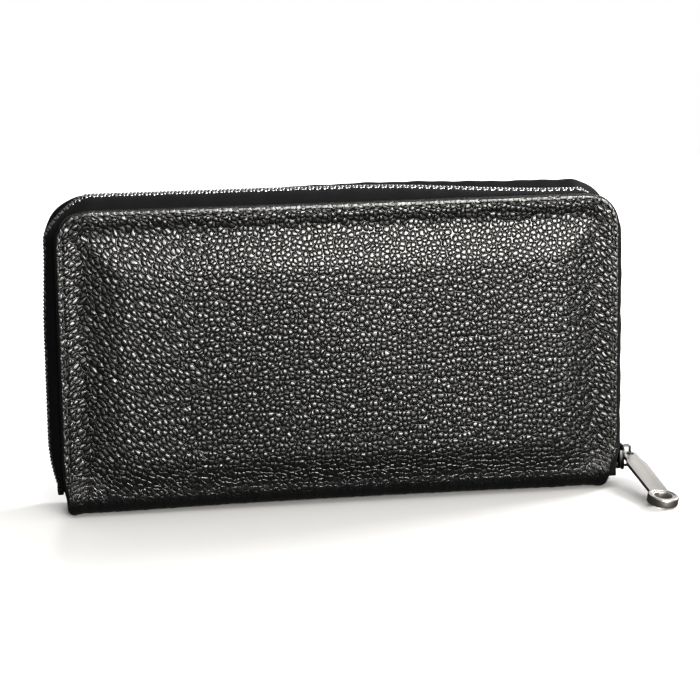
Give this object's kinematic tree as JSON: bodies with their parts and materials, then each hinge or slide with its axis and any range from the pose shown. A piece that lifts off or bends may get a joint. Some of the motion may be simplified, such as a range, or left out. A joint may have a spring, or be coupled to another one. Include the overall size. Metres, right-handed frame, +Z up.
{
  "type": "long wallet",
  "caption": "Zip-around long wallet in pebbled leather, standing on its spine, with card slots, a coin pocket and a flat bar puller.",
  "frame": {"origin": "on the ground under the middle of the spine", "axes": "+X to the right of the front cover, front cover facing -Y, +Z up"},
  "size_m": [0.2094, 0.0575, 0.108],
  "materials": {
    "pebbled_leather": "satin, pebbled",
    "smooth_leather": "satin, fine grain",
    "lining": "matte, fine twill",
    "zip_tape": "matte, woven",
    "board": "matte",
    "foam": "matte, open foam",
    "gunmetal": "polished gunmetal plating",
    "nickel": "satin nickel plating"
  },
  "bodies": {
    "root": {"front_left_stop": "gunmetal", "front_right_stop": "gunmetal", "rear_leather": "pebbled_leather", "rear_padding": "foam", "rear_board": "board", "rear_lining": "lining", "rear_zip_tape": "zip_tape", "rear_zip_teeth": "gunmetal", "rear_left_stop": "gunmetal", "rear_right_stop": "gunmetal", "rear_card_wall": "smooth_leather", "rear_card_slot_1": "smooth_leather", "rear_card_slot_2": "smooth_leather", "rear_card_slot_3": "smooth_leather", "rear_card_slot_4": "smooth_leather", "spine_leather": "pebbled_leather", "spine_lining": "lining", "left_gusset": "lining", "right_gusset": "lining"},
    "front_cover": {"front_leather": "pebbled_leather", "front_padding": "foam", "front_board": "board", "front_lining": "lining", "front_zip_tape": "zip_tape", "front_zip_teeth": "gunmetal", "front_card_wall": "smooth_leather", "front_card_slot_1": "smooth_leather", "front_card_slot_2": "smooth_leather", "front_card_slot_3": "smooth_leather", "front_card_slot_4": "smooth_leather"},
    "coin_pocket": {"coin_bag": "smooth_leather", "coin_front_tape": "zip_tape", "coin_rear_tape": "zip_tape", "coin_front_teeth": "gunmetal", "coin_rear_teeth": "gunmetal"},
    "coin_slider": {"coin_slider": "nickel"},
    "coin_puller": {"coin_puller": "nickel"},
    "slider": {"zip_slider": "gunmetal", "slider_bridge": "gunmetal"},
    "puller": {"zip_puller": "nickel"}
  },
  "joints": [
    {"name": "cover_hinge", "type": "hinge", "parent": "root", "child": "front_cover", "pos_m": [0, -0.01, 0.005], "axis": [1, 0, 0], "range_deg": [0, 55], "deforming": ["spine_leather", "spine_lining", "left_gusset", "right_gusset", "front_zip_tape"]},
    {"name": "coin_pocket_hinge", "type": "hinge", "parent": "root", "child": "coin_pocket", "pos_m": [0, 0, 0.008], "axis": [1, 0, 0], "range_deg": [0, 27.5]},
    {"name": "zip_slide", "type": "slide", "parent": "root", "child": "slider", "axis": [0, 0, 1], "range_m": [0, 0.076], "deforming": ["front_zip_teeth", "rear_zip_teeth"]},
    {"name": "puller_swing", "type": "hinge", "parent": "slider", "child": "puller", "pos_m": [0.104, 0, 0.0085], "axis": [0, 0, 1], "range_deg": [-2, 182]},
    {"name": "coin_zip_slide", "type": "slide", "parent": "coin_pocket", "child": "coin_slider", "axis": [1, 0, 0], "range_m": [-0.118, 0]},
    {"name": "coin_puller_flip", "type": "hinge", "parent": "coin_slider", "child": "coin_puller", "pos_m": [0.06, 0, 0.0845], "axis": [0, 1, 0], "range_deg": [0, 180]}
  ],
  "couplings": [
    {"joint": "coin_pocket_hinge", "follows": "cover_hinge", "ratio": 0.5}
  ]
}
